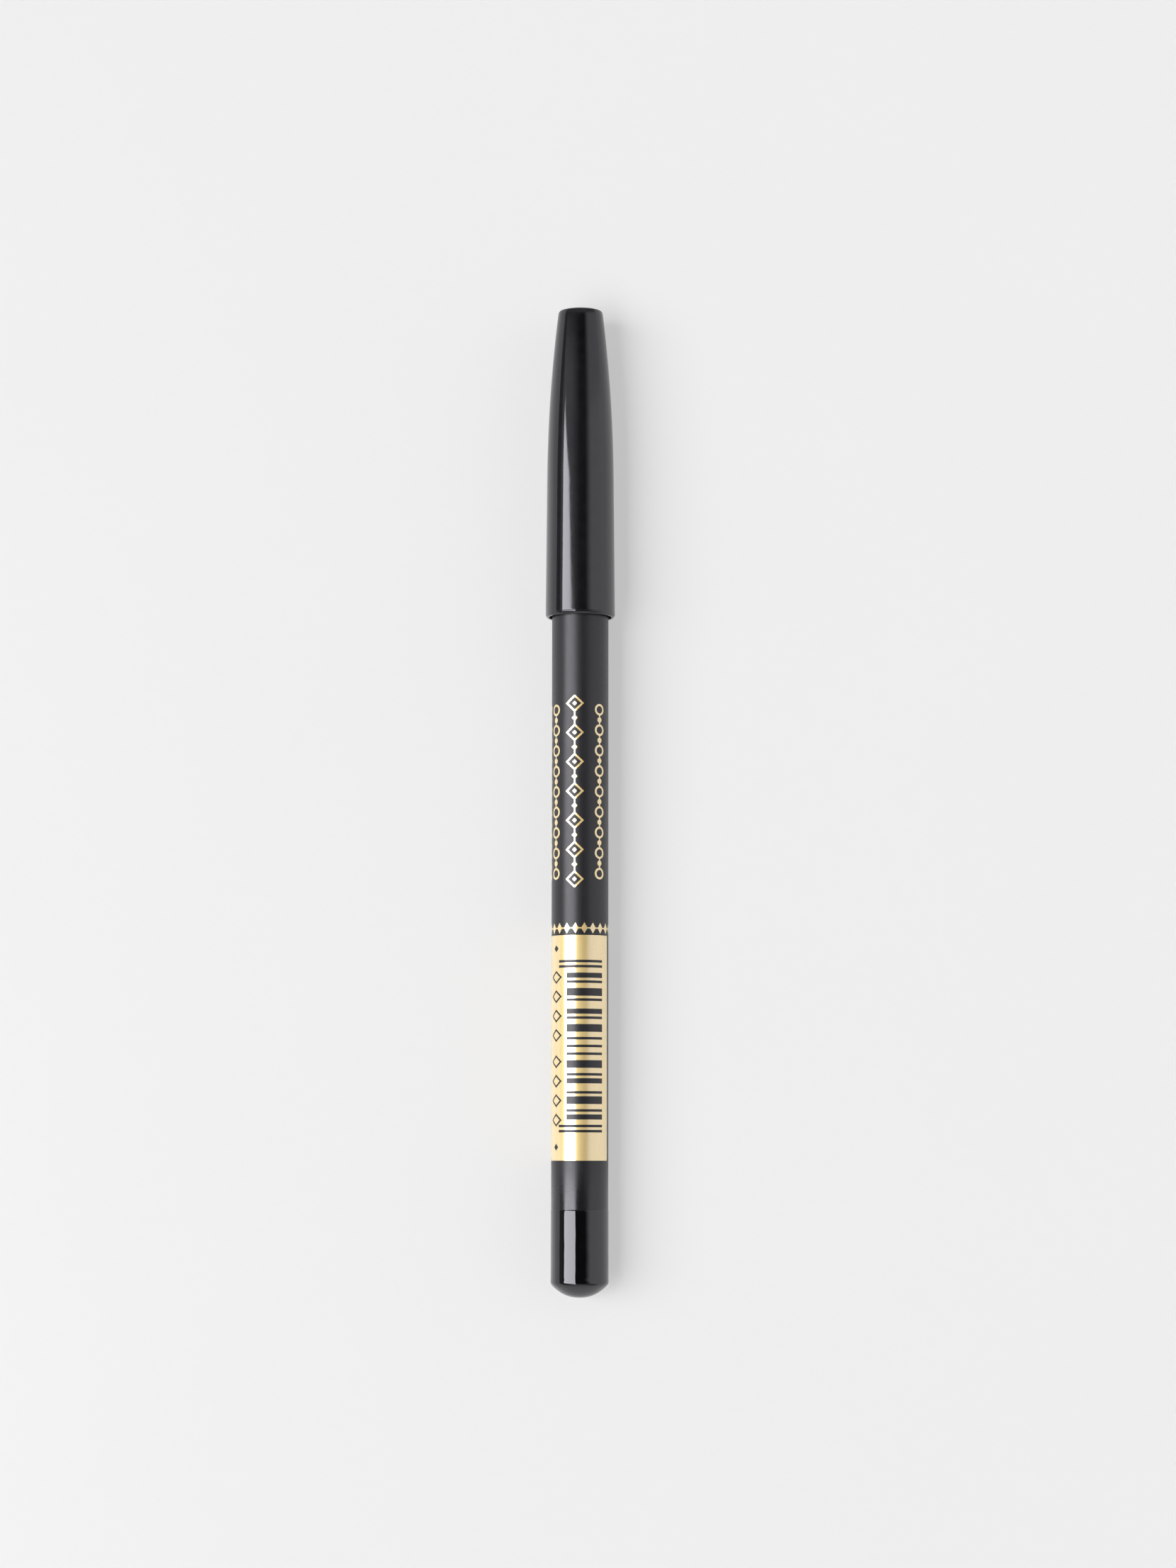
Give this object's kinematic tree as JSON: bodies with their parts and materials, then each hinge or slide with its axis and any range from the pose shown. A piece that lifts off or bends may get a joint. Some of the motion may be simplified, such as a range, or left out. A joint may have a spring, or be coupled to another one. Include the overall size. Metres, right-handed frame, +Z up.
{
  "type": "kohl pencil",
  "caption": "Slim round wood-cased kohl pencil in satin black with gold foil bands, a domed gloss dip at the butt and a tapered push-on cap over its sharpened point.",
  "frame": {"origin": "under the middle of the length, on the surface that the cap's mouth lies on", "axes": "+Y along the pencil from the dipped butt to the cap's end, +Z up, with the foil panel facing up"},
  "size_m": [0.009, 0.1276, 0.0089],
  "materials": {
    "cap_plastic": "glossy black moulded plastic",
    "cedar_wood": "bare sharpened cedar",
    "wood_glue": "dried wood glue",
    "kohl_wax": "soft black wax with a low sheen",
    "satin_lacquer": "satin black lacquer",
    "gloss_lacquer": "high-gloss black dipped lacquer",
    "gold_foil": "hot-stamped gold foil"
  },
  "bodies": {
    "pencil": {"wood_slat_upper": "cedar_wood", "wood_slat_lower": "cedar_wood", "glue_seam_left": "wood_glue", "glue_seam_right": "wood_glue", "kohl_core": "kohl_wax", "lacquer_coat": "satin_lacquer", "end_dip": "gloss_lacquer", "foil_bar_panel": "gold_foil", "foil_lozenge_ring": "gold_foil", "foil_lozenge_chain": "gold_foil", "foil_circle_line_right": "gold_foil", "foil_circle_line_left": "gold_foil", "foil_bead_line": "gold_foil"},
    "cap": {"cap_shell": "cap_plastic"}
  },
  "joints": [
    {"name": "cap_pull", "type": "slide", "parent": "pencil", "child": "cap", "axis": [0, 1, 0], "range_m": [0, 0.06]}
  ]
}
